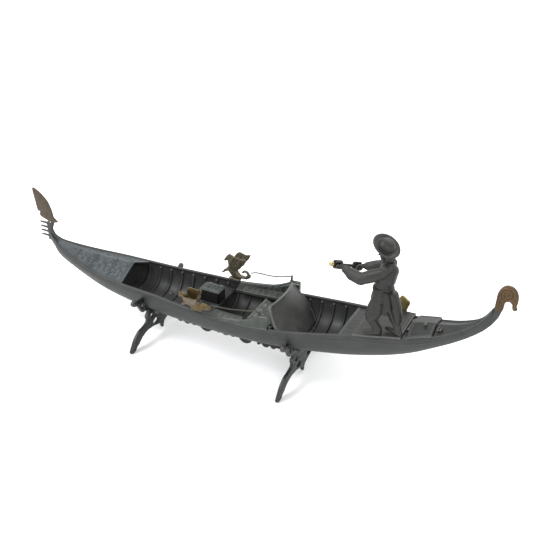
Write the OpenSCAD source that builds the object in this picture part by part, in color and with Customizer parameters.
/* [Hull] */
// Widest half beam of the hull, amidships
beam_half = 35; // [32:0.5:38]
// Wall thickness of the cast hull
hull_wall = 2.6; // [2:0.1:3.5]
// Height of the gunwale above the table, amidships
sheer_mid = 56.5; // [54:0.5:60]

/* [Stand] */
// Position of the front bracket along the boat
front_x = -94.5; // [-100:0.5:-90]
// Position of the rear bracket along the boat
rear_x = 62; // [58:0.5:66]
// Thickness of each bracket casting
bracket_t = 4; // [3:0.5:5]
// Half width across the tips of the feet
foot_half = 53; // [48:0.5:56]

/* [Deck] */
// Length of the hatch lid behind the gondolier
lid_len = 20.5; // [18:0.5:21]
// Height of the ridge of the aft deck above its edges
deck_crown = 4.6; // [3:0.2:6]
// Height of the ridge of the foredeck above its edges, at its aft edge
fore_crown = 12; // [9:0.5:13]

/* [Fittings] */
// Radius of the oar shaft
oar_r = 1.3; // [1:0.1:1.5]
// Running clearance of the oar in the fists and of the hinge pins, on the radius
fit = 0.06; // [0.03:0.01:0.1]
// Radius of the twisted cords
cord_r = 0.55; // [0.4:0.05:0.7]
// Forward lean of the port ornament on its bent peg, in degrees
port_lean = 10; // [0:1:18]
// Outboard lean of the port ornament on its bent peg, in degrees
port_roll = 14; // [0:1:16]

/* [Hidden] */

// Stations of the hull: x, half beam as a share of beam_half, gunwale height, keel height
STATIONS = [[-224, 0.06, 77, 70], [-216, 0.15, 70, 57], [-205, 0.27, 66, 52], [-180, 0.47, 61.5, 45.5],
    [-150, 0.67, 58.5, 38.5], [-120, 0.76, 57.3, 33.5], [-80, 0.83, 57, 29.5], [-40, 0.94, 56.5, 30],
    [0, 1, 56.5, 31.5], [40, 1.01, 59.8, 34.5], [80, 0.9, 65.6, 38.5], [120, 0.72, 72.5, 45],
    [160, 0.57, 78.5, 58], [190, 0.38, 87.5, 74], [206, 0.24, 95.5, 84], [216, 0.13, 104, 92],
    [223, 0.06, 116, 100]];
BOW_X = -224;
STERN_X = 223;
HULL_STEPS = 44;   // stations in the skinned hull
RIM_STEPS = 13;    // points round half a section
e = 0.05;          // hairline between solids that touch

// Catmull-Rom value of column c of the station table at x
function seg(x) = len([for (s = STATIONS) if (s[0] <= x) 1]);
function row(i) = STATIONS[max(0, min(len(STATIONS) - 1, i))];
function slope(i, c) = (row(i + 1)[c] - row(i - 1)[c]) / (row(i + 1)[0] - row(i - 1)[0]);
function hermite(u, h, a, b, ma, mb) = a * (2 * u * u * u - 3 * u * u + 1) + b * (3 * u * u - 2 * u * u * u)
    + h * ma * (u * u * u - 2 * u * u + u) + h * mb * (u * u * u - u * u);
function at(x, c) = let (i = max(0, min(len(STATIONS) - 2, seg(x) - 1)), h = row(i + 1)[0] - row(i)[0])
    hermite((x - row(i)[0]) / h, h, row(i)[c], row(i + 1)[c], slope(i, c), slope(i + 1, c));
function half(x) = beam_half * at(x, 1);
function sheer(x) = at(x, 2) + sheer_mid - 56.5;
function keel(x) = at(x, 3);

// Half breadth and height round a section, t = 0 at the gunwale and 90 at the keel
function round_y(t) = pow(max(0, cos(t)), 0.55);
function outer_pt(x, t) = [half(x) * round_y(t), sheer(x) - (sheer(x) - keel(x)) * sin(t)];
// The inside is deep in the open boat and dies away in the solid stem and stern post
function hollow(x) = min(1, max(0.04, (x + 216) / 14), max(0.04, (212 - x) / 14));
function inner_half(x) = max(0.35, half(x) - hull_wall);
function inner_depth(x) = (sheer(x) - keel(x) - hull_wall) * hollow(x);
function inner_pt(x, t) = [inner_half(x) * round_y(t), sheer(x) - inner_depth(x) * sin(t)];
function inner_y(x, z) = let (s = min(1, max(0, (sheer(x) - z) / inner_depth(x))))
    inner_half(x) * pow(sqrt(max(0, 1 - s * s)), 0.55);
function arc_steps(n) = [for (i = [0:n - 1]) 90 * i / (n - 1)];
function outer_ring(x) = let (a = arc_steps(RIM_STEPS))
    [for (t = a) [x, -outer_pt(x, t)[0], outer_pt(x, t)[1]], for (i = [RIM_STEPS - 2:-1:0])
        [x, outer_pt(x, a[i])[0], outer_pt(x, a[i])[1]]];
function inner_ring(x) = let (a = arc_steps(RIM_STEPS))
    [for (t = a) [x, inner_pt(x, t)[0], inner_pt(x, t)[1]], for (i = [RIM_STEPS - 2:-1:0])
        [x, -inner_pt(x, a[i])[0], inner_pt(x, a[i])[1]]];

// A closed skin over rows of equal length, each row a closed loop. Each end is a strip
// between the first half of its row and the second half, so the ends need not be flat.
function strip(n) = [for (j = [0:ceil(n / 2) - 2]) each
    concat([[j, j + 1, n - 1 - j]], j + 1 == n - 2 - j ? [] : [[j + 1, n - 2 - j, n - 1 - j]])];
module skin(rows) {
    n = len(rows[0]);
    m = len(rows);
    sides = [for (i = [0:m - 2], j = [0:n - 1]) each
        [[i * n + j, (i + 1) * n + j, (i + 1) * n + (j + 1) % n],
         [i * n + j, (i + 1) * n + (j + 1) % n, i * n + (j + 1) % n]]];
    ends = [for (t = strip(n)) each [t, [for (k = [2:-1:0]) (m - 1) * n + t[k]]]];
    polyhedron([for (r = rows) each r], concat(sides, ends), convexity = 8);
}

// A tube of radius r and s sides swept along the points of p
function unit(v) = v / norm(v);
function along(p, i) = unit(p[min(i + 1, len(p) - 1)] - p[max(i - 1, 0)]);
module tube(p, r, s) {
    skin([for (i = [0:len(p) - 1]) let (d = along(p, i), u = unit(cross(d, [0, 0, 1])), w = cross(u, d))
        [for (k = [0:s - 1]) p[i] + r * (cos(360 * k / s) * w + sin(360 * k / s) * u)]]);
}

// A section of the hull as a flat outline, in y and z
module hull_section(x, grow) {
    pts = [for (p = outer_ring(x)) [p[1], p[2]]];
    polygon(concat([[-half(x) - grow, 200]], [for (p = pts) [p[0] * (1 + grow / half(x)), p[1] - grow]],
        [[half(x) + grow, 200]]));
}

module across(x, t) {
    translate([x - t / 2, 0, 0]) rotate([90, 0, 90]) linear_extrude(t) children();
}

module upright(y, t) {
    translate([0, y + t / 2, 0]) rotate([90, 0, 0]) linear_extrude(t) children();
}

// Hull and decks
module hull_shell() color("dimgray") {
    rows = [for (i = [0:HULL_STEPS]) let (x = BOW_X + (STERN_X - BOW_X) * i / HULL_STEPS)
        concat(outer_ring(x), inner_ring(x))];
    skin(rows);
}

function deck_row(x, top, crown, thick) = let (w = inner_half(x) - e, a = [-1, -0.7, -0.35, 0, 0.35, 0.7, 1])
    concat([for (k = a) [x, k * w, top + crown * (1 - abs(k)) - thick]],
        [for (i = [6:-1:0]) [x, a[i] * w, top + crown * (1 - abs(a[i]))]]);

module foredeck() color("slategray") {
    x0 = -214;
    x1 = -121;
    n = 16;
    skin([for (i = [0:n]) let (x = x0 + (x1 - x0) * i / n)
        deck_row(x, sheer(x) - 0.2, fore_crown * (0.25 + 0.75 * i / n), 1.8)]);
}

module bulkhead() color("dimgray") {
    x = -134;
    g = 0.15;
    across(x + 1, 1.6) polygon([for (p = inner_ring(x - 0.5))
        [p[1] * (1 - g / half(x)), min(p[2] + g, sheer(x) - 2.2)]]);
}

AFT_X = 104.5;      // front edge of the aft deck
PLAT_X = [118, 158];  // front and back edges of the raised platform
SILL_X = 160;       // hinge line of the hatch lid
TAIL_X = 182;       // front edge of the ridged tail deck

module aft_deck() color("slategray") {
    n = 5;
    skin([for (i = [0:n]) let (x = AFT_X + (PLAT_X[1] - AFT_X) * i / n)
        deck_row(x, sheer(x) - 1.4 - 0.6 * i / n, 0.8, 2.2)]);
}

PLAT_Z = [sheer(PLAT_X[0]) + 0.35, sheer(PLAT_X[1]) + 0.35];
PLAT_TILT = atan((PLAT_Z[1] - PLAT_Z[0]) / (PLAT_X[1] - PLAT_X[0]));
PLAT_T = 2.2;

module platform() color("dimgray") {
    w0 = half(PLAT_X[0]) + 0.4;
    w1 = half(PLAT_X[1]) + 0.3;
    l = norm([PLAT_X[1] - PLAT_X[0], PLAT_Z[1] - PLAT_Z[0]]);
    r = 2;
    translate([PLAT_X[0], 0, PLAT_Z[0]]) rotate([0, -PLAT_TILT, 0]) difference() {
        linear_extrude(PLAT_T) {
            polygon([[r, -w0], [l, -w1], [l, w1], [r, w0], [0, w0 - r], [0, r - w0]]);
            for (s = [-1, 1]) translate([r, s * (w0 - r)]) circle(r, $fn = 32);
        }
        for (p = FIGURE_HOLES) translate([p[0], p[1], -1]) cylinder(h = PLAT_T + 2, r = 0.8, $fn = 24);
    }
}
FIGURE_HOLES = [[20.2, -20.6], [37, -17.4]];
function plat_pt(p, z) = [PLAT_X[0] + p[0] * cos(PLAT_TILT) - z * sin(PLAT_TILT), p[1],
    PLAT_Z[0] + p[0] * sin(PLAT_TILT) + z * cos(PLAT_TILT)];

module tail_deck() color("slategray") {
    x1 = 211;
    n = 8;
    skin([for (i = [0:n]) let (x = TAIL_X + (x1 - TAIL_X) * i / n)
        deck_row(x, sheer(x) - 0.2, deck_crown * (1 - 0.7 * i / n), 1.8)]);
}

LID_TILT = atan((sheer(SILL_X + lid_len) - sheer(SILL_X)) / lid_len);
HINGE = [SILL_X, 0, sheer(SILL_X) + 1.9];
KNUCKLE_R = 1.3;
PIN_R = 0.6;

module hatch_sill() color("dimgray") {
    w = inner_half(SILL_X - 1.4) - 0.2;
    difference() {
        union() {
            translate([SILL_X - 1.6, -w, HINGE[2] - 5.6]) cube([2.8, 2 * w, 3.2]);
            translate([SILL_X - KNUCKLE_R, -4, HINGE[2] - 3]) cube([2 * KNUCKLE_R, 8, 3]);
            translate([SILL_X, 4, HINGE[2]]) rotate([90, 0, 0]) cylinder(h = 8, r = KNUCKLE_R, $fn = 32);
        }
        translate([SILL_X, 5, HINGE[2]]) rotate([90, 0, 0]) cylinder(h = 10, r = PIN_R + fit, $fn = 32);
    }
}

module hatch_lid() color("slategray") {
    w0 = half(SILL_X + 2) - 0.6;
    w1 = half(SILL_X + lid_len) - 0.2;
    difference() {
        union() {
            translate([SILL_X, 0, sheer(SILL_X) + 0.5]) rotate([0, -LID_TILT, 0]) intersection() {
                translate([1.9, 0, 0]) rotate([90, 0, 90]) linear_extrude(lid_len)
                    polygon([[-w0, 0], [w0, 0], [w0, 1.2], [0, deck_crown + 0.9], [-w0, 1.2]]);
                linear_extrude(20)
                    polygon([[1.9, -w0], [1.9, w0], [lid_len + 1.9, w1], [lid_len + 1.9, -w1]]);
            }
            for (s = [-1, 1]) translate([SILL_X, s * 6.6 + 2.3, HINGE[2]]) {
                rotate([90, 0, 0]) cylinder(h = 4.6, r = KNUCKLE_R, $fn = 32);
                translate([0, -4.6, -KNUCKLE_R]) cube([3, 4.6, 2 * KNUCKLE_R]);
            }
        }
        translate([SILL_X, 12, HINGE[2]]) rotate([90, 0, 0]) cylinder(h = 24, r = PIN_R, $fn = 32);
    }
}

module hatch_pin() color("goldenrod")
    translate([SILL_X, 8.9, HINGE[2]]) rotate([90, 0, 0]) cylinder(h = 17.8, r = PIN_R, $fn = 32);

PULL = [15, -5.2];  // place of the pull on the lid, along it and across it
module hatch_pull() color("gray")
    translate([SILL_X, 0, sheer(SILL_X) + 0.5]) rotate([0, -LID_TILT, 0])
        translate([PULL[0], PULL[1], 3.2]) {
            cylinder(h = 2.6, r = 1.1, $fn = 32);
            translate([0, 0, 2.6]) sphere(1.6, $fn = 32);
        }

module hasp() color("gray") {
    x = TAIL_X + 3.6;
    translate([x - 2, -8.6, sheer(x) + 1.2]) rotate([0, -LID_TILT, 0]) {
        cube([4, 4.6, 1.5]);
        translate([1.2, 1.5, 1.5]) cube([1.6, 1.6, 1.4]);
    }
}

// Bow and stern ornaments
BLADE_T = 1.8;
module bow_blade() color("darkgoldenrod") {
    upright(0, BLADE_T) {
        difference() {
            intersection() {
                translate([-262, 89]) circle(45, $fn = 96);
                polygon([[-240.6, 123.4], [-237, 98], [-231, 92], [-220, 84], [-210, 90], [-214, 126]]);
            }
            translate([-238.5, 94.5]) circle(4.4, $fn = 32);
        }
        polygon([[-219.5, 94.5], [-218.4, 96], [-212, 92.6], [-212.6, 90.6], [-219.8, 91.5]]);
        polygon([[-226, 92], [-219.5, 92], [-219, 86], [-214, 78], [-218, 71], [-226.5, 66], [-230.5, 74],
            [-230.5, 84]]);
        for (i = [0:4]) translate([-229.5 + 0.3 * i, 92.2 - 4.9 * i]) rotate(158 + 3 * i)
            translate([-1.5, -0.7]) square([9 - 0.3 * i, 1.4]);
    }
}

module stern_scroll() color("darkgoldenrod")
    upright(0, 3.4) {
        difference() {
            translate([231.2, 131]) circle(9.4, $fn = 64);
            translate([233.8, 127.4]) circle(3.4, $fn = 48);
            translate([217, 116]) square([18.6, 9]);
            translate([228, 115]) square([9.2, 11]);
        }
        translate([233.4, 128.8]) circle(2.1, $fn = 32);
        translate([238.3, 122.4]) circle(2.2, $fn = 32);
        polygon([[222.3, 112], [229.6, 110], [230.9, 117], [230.5, 124.6], [222, 130], [222.6, 122]]);
    }

// Stand
module bracket(x) {
    f = foot_half;
    across(x, bracket_t) difference() {
        union() {
            for (s = [0, 1]) mirror([s, 0]) {
                // pendant, arch and leg
                difference() {
                    polygon([[-1, 3.4], [0.6, 3.4], [2.5, 6.4], [8, 9], [16, 11], [24, 11.4], [31, 10.2],
                        [36.5, 6.6], [38.4, 2.8], [37.6, 0.6], [40, 0], [f, 0], [f + 0.2, 2.6],
                        [f - 3, 7.4], [f - 6, 13], [f - 9.5, 17], [f - 15, 19.6], [f - 22, 19.8],
                        [f - 28.5, 20.6], [20.5, 24], [-1, 24]]);
                    for (u = [9.4, 11.4]) translate([u, 14.6]) circle(2.8, $fn = 40);
                }
                // plate and the arm that carries the side of the hull
                difference() {
                    polygon([[-1, 22], [19, 22], [22.8, 25.5], [23, 29], [21.6, 32.6], [25.4, 34.2],
                        [29.6, 35.2], [33.5, 39.8], [36, 44.6], [39.8, 47.6], [38.2, 51.8], [33.4, 52.2],
                        [29.4, 50], [25, 46], [-1, 46]]);
                    translate([15.4, 24.4]) circle(2.3, $fn = 32);
                }
                translate([40, 50.4]) circle(3.4, $fn = 40);
            }
        }
        for (d = [-1, 0, 1]) hull_section(x + d * bracket_t / 2, 0.12);
        for (s = [-1, 1]) translate([s * 28.6, 42.4]) circle(2.1, $fn = 32);
    }
}

LUG_R = 3.2;
LUG_OFF = 5;       // lug centre behind the bracket plate
SCREW_Y = 13;
function screw_places() = [for (x = [front_x, rear_x], s = [-1, 1]) [x + LUG_OFF, s * SCREW_Y]];
function seat_z(p) = let (r = (abs(p[1]) / half(p[0]))) let (c = pow(r, 1 / 0.55))
    sheer(p[0]) - (sheer(p[0]) - keel(p[0])) * sqrt(1 - c * c);

module lugs(x) {
    for (s = [-1, 1]) let (z = seat_z([x + LUG_OFF, s * (SCREW_Y - LUG_R)])) {
        translate([x + LUG_OFF, s * SCREW_Y, z - 3.6]) cylinder(h = 3.2, r = LUG_R, $fn = 40);
        translate([x, s * SCREW_Y - LUG_R, z - 3.6]) cube([LUG_OFF, 2 * LUG_R, 3.2]);
    }
}

module front_bracket() color("dimgray") {
    bracket(front_x);
    lugs(front_x);
}

module rear_bracket() color("dimgray") {
    bracket(rear_x);
    lugs(rear_x);
}

APRON_PITCH = 43.5;
APRON_MID = [-63, -19.5, 24];
APRON_BIG = [-41.25, 2.25];
APRON_SPLIT = [13, 15];
module apron(x0, x1) {
    upright(0, 2.4) difference() {
        union() {
            intersection() {
                polygon(concat([for (i = [0:12]) let (x = x0 + (x1 - x0) * i / 12) [x, keel(x) - 0.2]],
                    [[x1, 17], [x0, 17]]));
                translate([x0, 0]) square([x1 - x0, 60]);
            }
            intersection() {
                translate([x0, 5]) square([x1 - x0, 20]);
                union() {
                    for (m = APRON_MID, d = [[-8, 3.2, 18], [0, 4.2, 18.4], [8, 3.2, 18]])
                        translate([m + d[0], d[2]]) circle(d[1], $fn = 40);
                    for (b = APRON_BIG) translate([b, 19.6]) circle(7.6, $fn = 56);
                }
            }
        }
        for (b = APRON_BIG) translate([b, 21]) circle(2.6, $fn = 32);
        for (m = APRON_MID) translate([m, 21.4]) circle(1.7, $fn = 32);
    }
}
module apron_front() color("dimgray") apron(front_x + bracket_t / 2 + e, APRON_SPLIT[0]);
module apron_rear() color("dimgray") apron(APRON_SPLIT[1], rear_x - bracket_t / 2 - e);

module bracket_screws() color("silver")
    for (p = screw_places()) {
        z = seat_z(p);
        translate([p[0], p[1], z - 3]) cylinder(h = hull_wall + 5.6, r = 0.8, $fn = 24);
        translate([p[0], p[1], z + hull_wall + 0.9]) intersection() {
            cylinder(h = 1.5, r = 1.9, $fn = 32);
            translate([0, 0, -1.2]) sphere(2.7, $fn = 40);
        }
    }

// Casket amidships
CASKET = [-33.5, 2.5];      // centre, along and across
CASKET_SIZE = [19.5, 12, 11.5];
CASKET_Z = 49.4;
CASKET_WALL = 1.2;
CHINGE = [CASKET[0], CASKET[1] + CASKET_SIZE[1] / 2 + 1.3, CASKET_Z + CASKET_SIZE[2] + 0.3];
CKNUCKLE_R = 0.95;

module thwart() color("dimgray") {
    w = min(inner_y(CASKET[0] - 11, CASKET_Z - 2.6), inner_y(CASKET[0] + 11, CASKET_Z - 2.6)) - 0.2;
    translate([CASKET[0] - 10, -w, CASKET_Z - 2.4]) cube([20, 2 * w, 2.4 - e]);
}

module casket() color("#222222") {
    translate([CASKET[0], CASKET[1], CASKET_Z]) difference() {
        translate(-[CASKET_SIZE[0] / 2, CASKET_SIZE[1] / 2, 0]) cube(CASKET_SIZE);
        translate([CASKET_WALL - CASKET_SIZE[0] / 2, CASKET_WALL - CASKET_SIZE[1] / 2, 1.2])
            cube([CASKET_SIZE[0] - 2 * CASKET_WALL, CASKET_SIZE[1] - 2 * CASKET_WALL, CASKET_SIZE[2]]);
    }
    difference() {
        translate([CHINGE[0] - 3, CHINGE[1], CHINGE[2]]) rotate([0, 90, 0]) union() {
            cylinder(h = 6, r = CKNUCKLE_R, $fn = 32);
            translate([0.4, -1.6, 0]) cube([1.6, 1.6, 6]);
        }
        translate([CHINGE[0] - 5, CHINGE[1], CHINGE[2]]) rotate([0, 90, 0])
            cylinder(h = 10, r = 0.45 + fit, $fn = 32);
    }
}

module casket_lid() color("slategray") {
    difference() {
        union() {
            translate([CASKET[0] - CASKET_SIZE[0] / 2 - 0.7, CASKET[1] - CASKET_SIZE[1] / 2 - 0.7,
                CHINGE[2]]) cube([CASKET_SIZE[0] + 1.4, CASKET_SIZE[1] + 0.8, 1.8]);
            translate([CASKET[0] - 8.4, CASKET[1] - 5, CHINGE[2] + 1.7]) cube([16.8, 9.6, 1.2]);
            for (x = [-8.2, 3.2]) translate([CHINGE[0] + x, CHINGE[1], CHINGE[2]]) {
                rotate([0, 90, 0]) cylinder(h = 5, r = CKNUCKLE_R, $fn = 32);
                translate([0, -2.2, 0.1]) cube([5, 2.2, 0.8]);
            }
        }
        translate([CHINGE[0] - 10, CHINGE[1], CHINGE[2]]) rotate([0, 90, 0])
            cylinder(h = 20, r = 0.45, $fn = 32);
    }
}

module casket_pin() color("goldenrod")
    translate([CHINGE[0] - 8.2, CHINGE[1], CHINGE[2]]) rotate([0, 90, 0]) cylinder(h = 16.4, r = 0.45, $fn = 32);

// Seat
SEAT_X = [13, 43];
SEAT_Z = 50;
module seat_base() color("dimgray") {
    w = min(inner_y(SEAT_X[0] - 1, 38), inner_y(SEAT_X[1] + 1, 38)) - 1.2;
    translate([SEAT_X[0], -w, 38.4]) cube([SEAT_X[1] - SEAT_X[0] - 2, 2 * w, SEAT_Z - 38.4 - 3]);
    translate([SEAT_X[0] - 1.4, -w - 2, SEAT_Z - 3]) cube([SEAT_X[1] - SEAT_X[0] - 1, 2 * w + 4, 3 - e]);
}

module seat_cushion() color("slategray") {
    translate([SEAT_X[0] - 0.5, -20, SEAT_Z]) cube([26, 40, 3.4]);
    translate([SEAT_X[0] + 1.4, 20, SEAT_Z + 3.2]) rotate([90, 0, 0]) cylinder(h = 40, r = 2.2, $fn = 32);
}

// The back is a bent sheet: from its rim it sweeps down and aft to the floor
BACK_RIM = [44, 77.5, 23];
function back_pt(u, v) = let (w = 23 + 7.5 * sin(90 * min(1, 1.6 * u)),
        x = BACK_RIM[0] + 21 * pow(u, 1.25) - 3.5 * v * v * (1 - u), z = BACK_RIM[1] - 33.5 * pow(u, 0.92) - 1.5 * v * v * (1 - u))
    [x, v * min(w, inner_y(x, min(z, sheer(x) - 1)) - 1.4), z];
module seat_back() color("dimgray") {
    n = 10;
    m = 8;
    t = [-2.4, 0, -1.4];
    skin([for (i = [0:n]) let (u = i / n)
        concat([for (j = [-m:m]) back_pt(u, j / m) + t], [for (j = [m:-1:-m]) back_pt(u, j / m)])]);
}

ARM_X = [-20, 43];
// Height of the top of an armrest: it rises from the gunwale to the post and the seat back
function arm_rise(x) = 1.4 + 3.2 * min(1, (x + 20) / 30) + 8.6 * pow(max(0, min(x, 36) - 10) / 26, 1.6);
function arm_row(x) = let (b = half(x), top = sheer(x) + arm_rise(x), s = sheer(x))
    [[x, b - 0.2, top - 0.8], [x, b - 0.4, s + 0.15], [x, b - hull_wall - 1, s + 0.15],
     [x, b - hull_wall - 2.4, s - 3.4], [x, b - 12.6, s - 5], [x, b - 12.6, s - 3.2],
     [x, b - hull_wall - 1.6, s - 1.2], [x, b - 3.4, top - 0.4], [x, b - 1, top]];
module starboard_armrest() color("slategray") {
    n = 21;
    skin([for (i = [n:-1:0]) arm_row(ARM_X[0] + (ARM_X[1] - ARM_X[0]) * i / n)]);
}
module port_armrest() color("slategray") mirror([0, 1, 0]) starboard_armrest();

POST = [34.5, 32.6];
POST_BASE = sheer(POST[0]) + arm_rise(POST[0]);
POST_H = 6.4;
module rope_posts() color("gray")
    for (s = [-1, 1]) translate([POST[0], s * POST[1], POST_BASE + e]) {
        cylinder(h = POST_H - 1.2, r1 = 1.4, r2 = 1, $fn = 32);
        cylinder(h = 0.8, r = 1.9, $fn = 32);
        translate([0, 0, POST_H - 1.4]) sphere(1.4, $fn = 32);
    }

// Winged sea-horses on mounds, facing the bow; drawn at the origin of their peg
module horse_outline() {
    // neck, chest and body
    polygon([[-3, 3], [-2.4, 5.6], [-5.8, 7.2], [-6.6, 12], [-6.2, 17], [-7.6, 18.6], [-10.8, 19],
        [-11.6, 21.6], [-9.4, 24.6], [-7.4, 28.4], [-5.6, 27.4], [-3, 26.4], [0.6, 20], [4.6, 13], [6, 8],
        [3.6, 4.6], [2.6, 3]]);
    // forelegs
    polygon([[-5.6, 8.6], [-12.4, 6.6], [-13, 8.4], [-9.6, 10.4], [-5.8, 12.6]]);
}
module horse() {
    upright(0, 4.6) horse_outline();
    // wings
    for (s = [-1, 1]) translate([0, s * 2.6, 14]) rotate([s * -10, 0, 0]) upright(0, 1.4)
        polygon([[-3.6, 0], [-2.4, 10], [0.4, 15], [4.4, 16.4], [8.6, 14.2], [15.6, 16.2], [13.4, 11.4],
            [10.2, 8.8], [8.6, 4], [4.6, 0.6], [0, -1.4]]);
    // tail with its curl
    upright(0, 3) difference() {
        union() {
            polygon([[3, 7], [6.4, 12.6], [11, 14.8], [14, 12.4], [12, 8.6], [7, 7.4]]);
            translate([12.4, 10.6]) circle(4.2, $fn = 40);
            polygon([[12, 7.6], [17, 6.4], [17.6, 8.6], [14, 9.8]]);
        }
        translate([12.8, 10.4]) circle(1.5, $fn = 32);
    }
    linear_extrude(3.4) {
        for (x = [-2.4, 2.4]) translate([x, 0]) circle(2.8, $fn = 40);
        translate([-2.4, -2.8]) square([4.8, 5.6]);
    }
    translate([0, 0, -4.5]) cylinder(h = 5, r = 0.8, $fn = 32);
}
HORSE = [-26.6, 32.6];
HORSE_Z = sheer(HORSE[0]) + e;
module starboard_horse() color("burlywood") translate([HORSE[0], HORSE[1], HORSE_Z]) horse();
module port_horse() color("goldenrod")
    translate([HORSE[0] - 2, -HORSE[1], HORSE_Z + 1.6]) rotate([port_roll, 0, 0]) rotate([0, -port_lean, 0]) horse();

// Twisted cords from the tail of each sea-horse to its post: points chosen by hand, with a
// smooth curve of CORD_RINGS rings through them
STARBOARD_ROUTE = [[-9, 32.6, 68.6], [-4, 32.6, 70.4], [0, 32.6, 71], [4, 32.6, 71.1], [8, 32.6, 71.2],
    [12, 32.6, 71.4], [16, 32.6, 71.9], [20, 32.6, 72.6], [24, 32.6, 73.6], [28, 32.6, 74.8], [33, 32.6, 76.4]];
PORT_ROUTE = [[-12, -35.4, 70.2], [-7, -35, 70.3], [-2, -34.4, 70.2], [2, -33.8, 70.2], [6, -33.4, 70.4],
    [10, -33, 70.8], [14, -32.6, 71.5], [18, -32.6, 72.2], [22, -32.6, 73], [26, -32.6, 74], [33, -32.6, 76.4]];
CORD_RINGS = 17;
function knot(p, i) = p[max(0, min(len(p) - 1, i))];
function on_curve(p, s) = let (i = min(len(p) - 2, floor(s)), u = s - i, a = knot(p, i), b = knot(p, i + 1),
        ma = (b - knot(p, i - 1)) / 2, mb = (knot(p, i + 2) - a) / 2)
    hermite(u, 1, a, b, ma, mb);
function curve(p) = [for (i = [0:CORD_RINGS - 1]) on_curve(p, (len(p) - 1) * i / (CORD_RINGS - 1))];
module starboard_rope() color("silver") tube(curve(STARBOARD_ROUTE), cord_r, 8);
module port_rope() color("silver") tube(curve(PORT_ROUTE), cord_r, 8);

// Gondolier
module limb(a, b, r1, r2) {
    hull() {
        translate(a) sphere(r1, $fn = 20);
        translate(b) sphere(r2, $fn = 20);
    }
}
FIG_Y = -12.5;
NEAR_FOOT = plat_pt([16, -18.4], PLAT_T);
REAR_FOOT = plat_pt([36, -16.4], PLAT_T);
module gondolier() color("#3a3d40") {
    // coat body and skirts
    hull() {
        translate([140.2, FIG_Y, 137]) sphere(7.2, $fn = 24);
        for (s = [-1, 1]) translate([140, FIG_Y + s * 6, 137.4]) sphere(4.8, $fn = 20);
        translate([138, FIG_Y, 121]) sphere(7.6, $fn = 24);
    }
    hull() {
        translate([137, FIG_Y, 120]) sphere(8.2, $fn = 24);
        translate([137.4, FIG_Y, 113]) sphere(9.2, $fn = 24);
        translate([145, FIG_Y, 109]) sphere(5.6, $fn = 20);
    }
    // forward leg, knee bent
    limb([138, FIG_Y - 4.5, 109], [132.8, FIG_Y - 7, 92], 6.6, 4.8);
    limb([132.8, FIG_Y - 7, 92], NEAR_FOOT + [0, 0, 5], 4.8, 3.6);
    // back leg, stretched out behind
    limb([144, FIG_Y + 2, 108], [150, FIG_Y - 0.5, 96], 6.6, 5);
    limb([150, FIG_Y - 0.5, 96], REAR_FOOT + [-0.6, 0, 5], 5, 3.8);
    shoe(NEAR_FOOT, -9.6, 14);
    shoe(REAR_FOOT, -9, -20);
}
module shoe(p, reach, turn) {
    difference() {
        hull() {
            translate(p + [0, 0, 3]) sphere(3.2, $fn = 20);
            translate(p + [2.4, 0, 2.3]) sphere(2.5, $fn = 20);
            translate(p + reach * [cos(turn), sin(turn), 0] + [0, 0, 2]) sphere(2.2, $fn = 20);
        }
        translate(p) rotate([0, -PLAT_TILT, 0]) translate([-20, -20, -10]) cube([40, 40, 10.05]);
    }
}

module head() color("#3a3d40") {
    hull() {
        translate([138.2, FIG_Y, 150.6]) sphere(5.8, $fn = 28);
        translate([135.2, FIG_Y, 147.4]) sphere(4, $fn = 28);
    }
    translate([139.6, FIG_Y, 142.4]) rotate([0, -8, 0]) cylinder(h = 6, r = 3.2, $fn = 32);
}

HAT_TILT = [10, 30, 0];
module hat() color("#34373a")
    translate([137.6, FIG_Y - 0.6, 156]) rotate(HAT_TILT) difference() {
        union() {
            translate([0, 0, -0.7]) cylinder(h = 1.4, r = 12, $fn = 64);
            cylinder(h = 5.2, r1 = 6.4, r2 = 5.8, $fn = 48);
        }
        translate([0, 0, -0.9]) cylinder(h = 1.4, r = 5.6, $fn = 48);
    }

NEAR_FIST = [98.3, -14, 130];
FAR_FIST = [109.3, 2, 123.1];
OAR_DIR = unit(FAR_FIST - NEAR_FIST);
OAR_TILT = [0, acos(OAR_DIR[2]), atan2(OAR_DIR[1], OAR_DIR[0])];
module on_oar(d) translate(NEAR_FIST + d * OAR_DIR) rotate(OAR_TILT) children();
module fist(d) on_oar(d) intersection() {
    translate([0, 0, -3.4]) cylinder(h = 6.8, r = 3.9, $fn = 40);
    sphere(4.5, $fn = 40);
}
module bore() on_oar(-12) cylinder(h = 50, r = oar_r + fit, $fn = 40);
module left_arm() color("#3a3d40") difference() {
    union() {
        fist(0);
        limb([139, FIG_Y - 9.2, 135.6], [121.5, -23.6, 126.4], 5.2, 4.8);
        limb([121.5, -23.6, 126.4], [103.6, -17.6, 129.2], 4.8, 3.2);
    }
    bore();
}
module right_arm() color("#3a3d40") difference() {
    union() {
        fist(norm(FAR_FIST - NEAR_FIST));
        limb([139, FIG_Y + 9.2, 136], [127, 3.6, 126.6], 5, 4.2);
        limb([127, 3.6, 126.6], [113.8, 2.6, 124.2], 4.2, 3);
    }
    bore();
}

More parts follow.
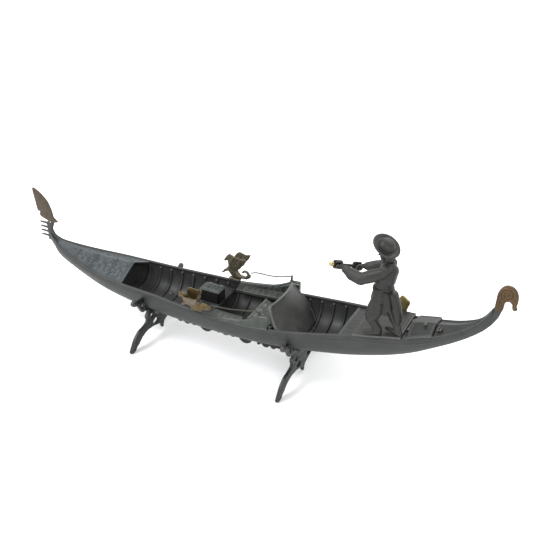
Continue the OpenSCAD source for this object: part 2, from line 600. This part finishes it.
module sash() color("#2c2e30") {
    translate([137.6, FIG_Y, 117.6]) difference() {
        cylinder(h = 4.4, r1 = 9.8, r2 = 9.2, $fn = 48);
        translate([0, 0, -1]) cylinder(h = 7, r = 8, $fn = 48);
    }
    translate([142.6, FIG_Y - 10.6, 100]) rotate([4, 6, 0]) cube([5, 1.8, 19.5]);
}

module figure_screws() color("silver")
    for (p = FIGURE_HOLES) translate(plat_pt(p, 0)) rotate([0, -PLAT_TILT, 0]) {
        translate([0, 0, -1.1]) cylinder(h = 1.1 - e, r = 1.5, $fn = 32);
        translate([0, 0, -0.5]) cylinder(h = PLAT_T + 3.5, r = 0.75, $fn = 24);
    }

// Oar and its crutch on the starboard gunwale
module oar() color("#3a3d40") {
    on_oar(-5.4) cylinder(h = 62, r = oar_r, $fn = 40);
}
module oar_ferrule() color("goldenrod") {
    on_oar(-9.4) {
        cylinder(h = 4 - e, r = 1.9, $fn = 40);
        sphere(1.9, $fn = 40);
    }
}

FORCOLA_X = 146;
FORCOLA_Y = half(FORCOLA_X) + 2.7;
module forcola_block() color("dimgray")
    translate([FORCOLA_X - 5, half(FORCOLA_X) - 0.9, sheer(FORCOLA_X) - 6]) cube([10, 4.8, 5.2]);
module forcola() color("goldenrod")
    upright(FORCOLA_Y, 1.8)
        polygon([[FORCOLA_X - 2.6, 72.6], [FORCOLA_X - 3, 78.6], [FORCOLA_X - 5, 84], [FORCOLA_X - 4.6, 89],
            [FORCOLA_X - 3.4, 92], [FORCOLA_X - 1, 91], [FORCOLA_X + 1.2, 88.4], [FORCOLA_X + 4, 86],
            [FORCOLA_X + 4.2, 83.6], [FORCOLA_X + 2.4, 78.6], [FORCOLA_X + 2.4, 72.6]]);

hull_shell();
foredeck();
bulkhead();
aft_deck();
platform();
tail_deck();
hatch_sill();
hatch_lid();
hatch_pull();
hatch_pin();
hasp();
bow_blade();
stern_scroll();
front_bracket();
rear_bracket();
apron_front();
apron_rear();
bracket_screws();
thwart();
casket();
casket_lid();
casket_pin();
seat_base();
seat_cushion();
seat_back();
starboard_armrest();
port_armrest();
rope_posts();
starboard_horse();
port_horse();
starboard_rope();
port_rope();
gondolier();
head();
hat();
left_arm();
right_arm();
sash();
figure_screws();
forcola();
forcola_block();
oar();
oar_ferrule();
